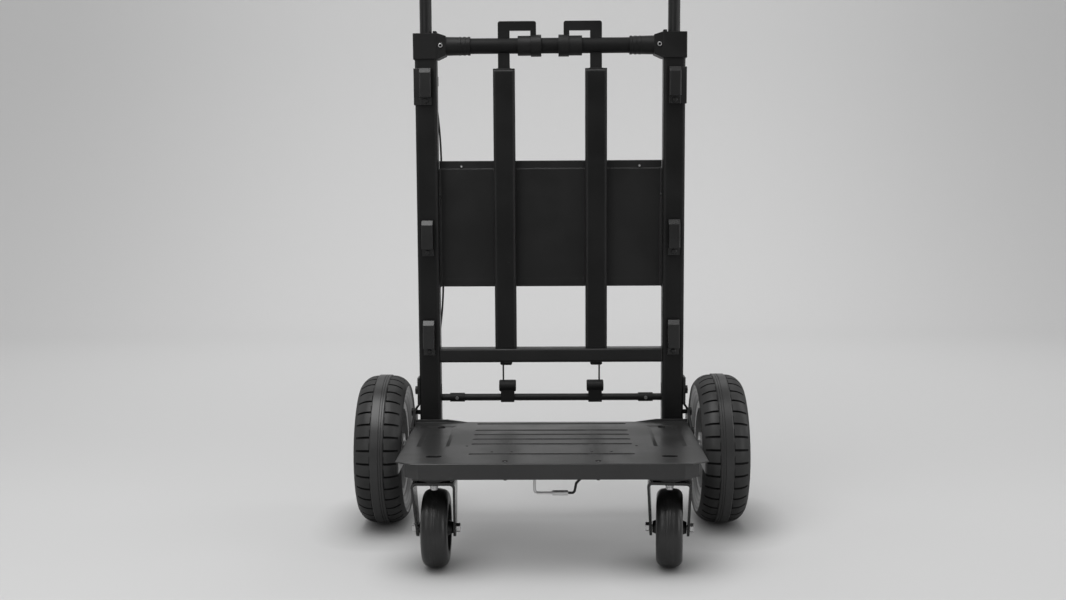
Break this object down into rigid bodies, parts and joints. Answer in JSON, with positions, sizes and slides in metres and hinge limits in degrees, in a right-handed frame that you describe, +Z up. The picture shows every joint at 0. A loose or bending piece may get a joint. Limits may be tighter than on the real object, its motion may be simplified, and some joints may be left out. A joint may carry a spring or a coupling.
{
  "type": "folding hand truck",
  "caption": "Folding hand truck: upright tube frame with a telescopic handle, finger pulls for the release bar, large rear wheels and a fold-up deck on swivel casters.",
  "frame": {"origin": "on the floor under the middle of the object's box", "axes": "+Z up, +Y towards the back, away from the deck's front edge, +X to the right seen from the front"},
  "size_m": [0.68, 0.4684, 1.121],
  "materials": {
    "frame_paint": "satin black powder coat",
    "deck_paint": "satin black powder coat",
    "block_plastic": "moulded, fine grain",
    "pad_rubber": "matt",
    "zinc": "bright zinc plate",
    "black_steel": "black oxide",
    "axle_steel": "turned",
    "cable_sheath": "smooth",
    "fork_paint": "satin black",
    "tyre_rubber": "moulded tread",
    "caster_rubber": "smooth",
    "rim_paint": "satin grey",
    "hub_plastic": "moulded"
  },
  "bodies": {
    "frame": {"left_rail": "frame_paint", "right_rail": "frame_paint", "lower_cross_tube": "frame_paint", "left_slat": "frame_paint", "right_slat": "frame_paint", "slat_caps": "block_plastic", "back_panel": "frame_paint", "top_bar": "frame_paint", "left_corner_block": "block_plastic", "right_corner_block": "block_plastic", "guide_collars": "block_plastic", "rail_pads": "pad_rubber", "frame_screws": "black_steel", "corner_screws": "zinc", "wire_guides": "block_plastic", "left_axle_bracket": "frame_paint", "right_axle_bracket": "frame_paint", "bracket_bolts": "black_steel", "rear_axle": "axle_steel", "axle_nuts": "zinc", "deck_hinge_pins": "black_steel", "control_cable": "cable_sheath", "cable_clips": "block_plastic", "left_button_spring": "zinc", "right_button_spring": "zinc"},
    "handle": {"handle_tube": "frame_paint", "handle_grip": "pad_rubber", "handle_glides": "block_plastic"},
    "left_button": {"left_lock_button": "block_plastic"},
    "right_button": {"right_lock_button": "block_plastic"},
    "release": {"left_pull_handle": "block_plastic", "right_pull_handle": "block_plastic", "pull_wires": "zinc", "wire_barrels": "block_plastic", "release_bar": "frame_paint", "bar_sleeves": "block_plastic", "release_bar_screws": "zinc"},
    "deck": {"deck_plate": "deck_paint", "deck_screws": "black_steel", "bail_brackets": "deck_paint", "caster_spacers": "deck_paint", "caster_plates": "fork_paint", "caster_bearings": "black_steel", "caster_kingpins": "zinc"},
    "bail": {"bail_wire": "zinc", "bail_sleeve": "zinc"},
    "left_fork": {"left_caster_fork": "fork_paint", "left_caster_axle": "zinc"},
    "right_fork": {"right_caster_fork": "fork_paint", "right_caster_axle": "zinc"},
    "left_caster_wheel": {"left_caster_tyre": "caster_rubber", "left_caster_hub": "hub_plastic"},
    "right_caster_wheel": {"right_caster_tyre": "caster_rubber", "right_caster_hub": "hub_plastic"},
    "left_wheel": {"left_tyre": "tyre_rubber", "left_wheel_rim": "rim_paint", "left_wheel_bearings": "axle_steel"},
    "right_wheel": {"right_tyre": "tyre_rubber", "right_wheel_rim": "rim_paint", "right_wheel_bearings": "axle_steel"}
  },
  "joints": [
    {"name": "left_wheel_spin", "type": "hinge", "parent": "frame", "child": "left_wheel", "pos_m": [-0.299, 0.10075, 0.1335], "axis": [1, 0, 0], "continuous": true},
    {"name": "right_wheel_spin", "type": "hinge", "parent": "frame", "child": "right_wheel", "pos_m": [0.299, 0.10075, 0.1335], "axis": [1, 0, 0], "continuous": true},
    {"name": "deck_fold", "type": "hinge", "parent": "frame", "child": "deck", "pos_m": [0, 0.05535, 0.173], "axis": [-1, 0, 0], "range_deg": [0, 90]},
    {"name": "left_caster_swivel", "type": "hinge", "parent": "deck", "child": "left_fork", "pos_m": [-0.185, -0.18525, 0.15], "axis": [0, 0, 1], "continuous": true},
    {"name": "left_caster_spin", "type": "hinge", "parent": "left_fork", "child": "left_caster_wheel", "pos_m": [-0.185, -0.15525, 0.063], "axis": [1, 0, 0], "continuous": true},
    {"name": "right_caster_swivel", "type": "hinge", "parent": "deck", "child": "right_fork", "pos_m": [0.185, -0.18525, 0.15], "axis": [0, 0, 1], "continuous": true},
    {"name": "right_caster_spin", "type": "hinge", "parent": "right_fork", "child": "right_caster_wheel", "pos_m": [0.18814, -0.15541, 0.063], "axis": [0.9945, -0.1045, 0], "continuous": true},
    {"name": "handle_slide", "type": "slide", "parent": "frame", "child": "handle", "axis": [0, 0, 1], "range_m": [-0.17, 0]},
    {"name": "release_pull", "type": "slide", "parent": "frame", "child": "release", "axis": [0, 0, 1], "range_m": [0, 0.018]},
    {"name": "bail_swing", "type": "hinge", "parent": "deck", "child": "bail", "pos_m": [0, -0.21125, 0.172], "axis": [1, 0, 0], "range_deg": [-45, 85]},
    {"name": "left_button_press", "type": "slide", "parent": "frame", "child": "left_button", "axis": [0, 0, -1], "range_m": [0, 0.004], "stiffness_N_per_m": 600, "springref_m": -0.002, "deforming": ["left_button_spring"]},
    {"name": "right_button_press", "type": "slide", "parent": "frame", "child": "right_button", "axis": [0, 0, -1], "range_m": [0, 0.004], "stiffness_N_per_m": 600, "springref_m": -0.002, "deforming": ["right_button_spring"]}
  ]
}
